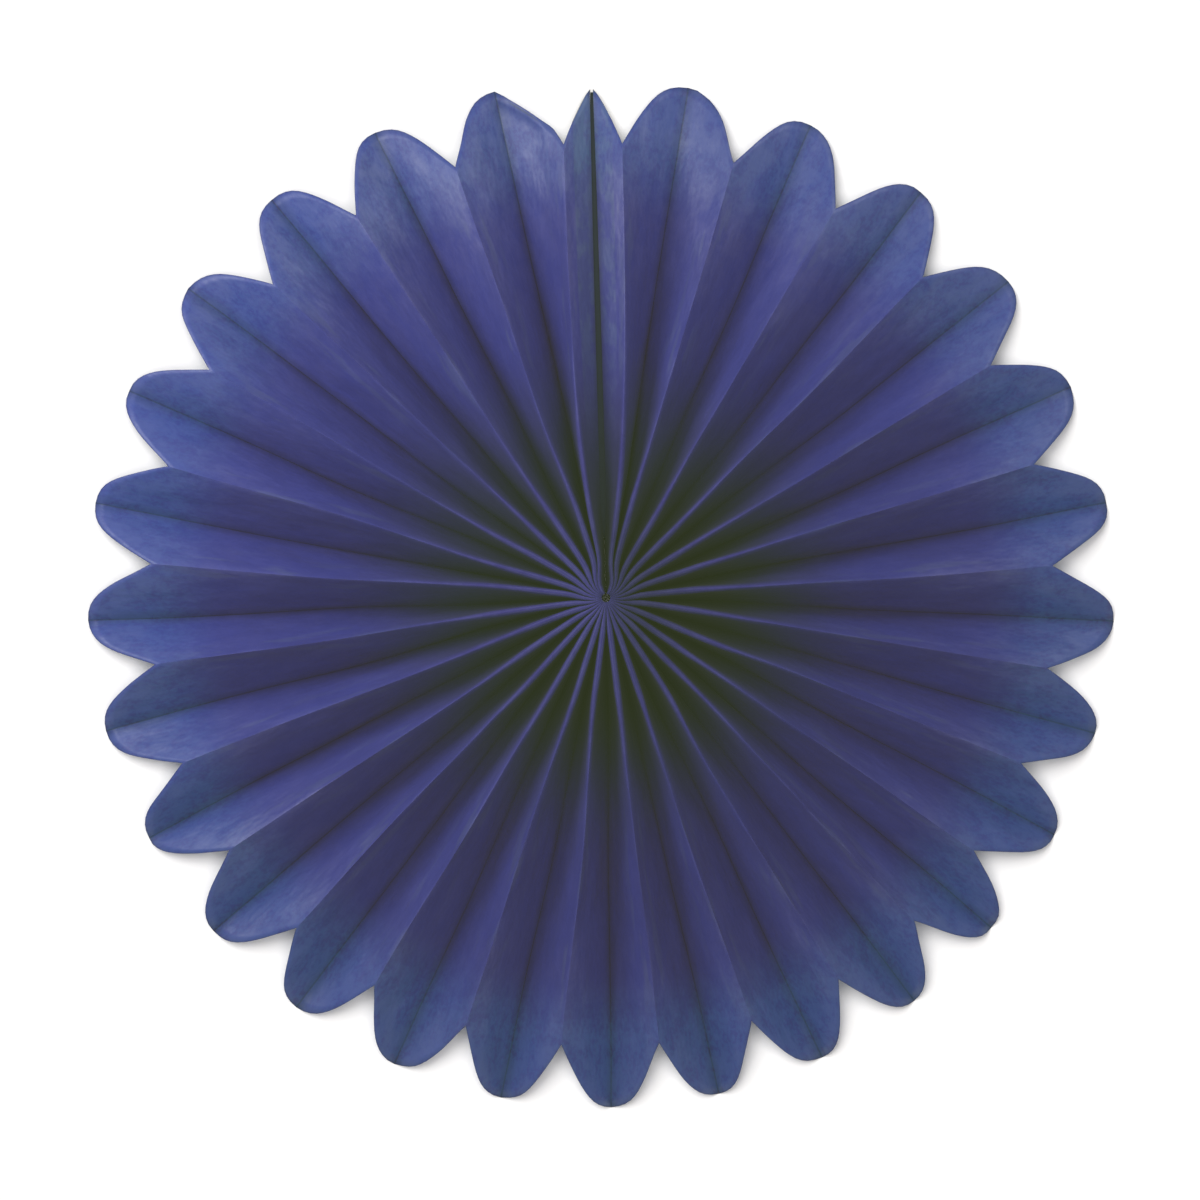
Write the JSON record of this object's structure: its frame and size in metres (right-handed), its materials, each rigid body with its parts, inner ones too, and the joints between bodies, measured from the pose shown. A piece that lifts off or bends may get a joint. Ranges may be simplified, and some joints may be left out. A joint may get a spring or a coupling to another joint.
{
  "type": "paper fan medallion",
  "caption": "Round pleated tissue paper fan opened to a full circle, with round-tipped die-cut petals, card-backed ends meeting at a seam slot, and fold lines at the back to lie on.",
  "frame": {"origin": "middle of the hub on the back plane, where the valley folds lie", "axes": "+Z out of the front, +Y from the hub to the seam, which is the top when the fan hangs, +X to the right seen from the front"},
  "size_m": [0.4056, 0.406, 0.0262],
  "materials": {
    "tissue": "matte, translucent",
    "card": "matte",
    "tape": "matte"
  },
  "bodies": {
    "root": {"pleated_tissue": "tissue", "end_card_left": "card", "end_card_right": "card", "joining_tape": "tape"}
  },
  "joints": []
}
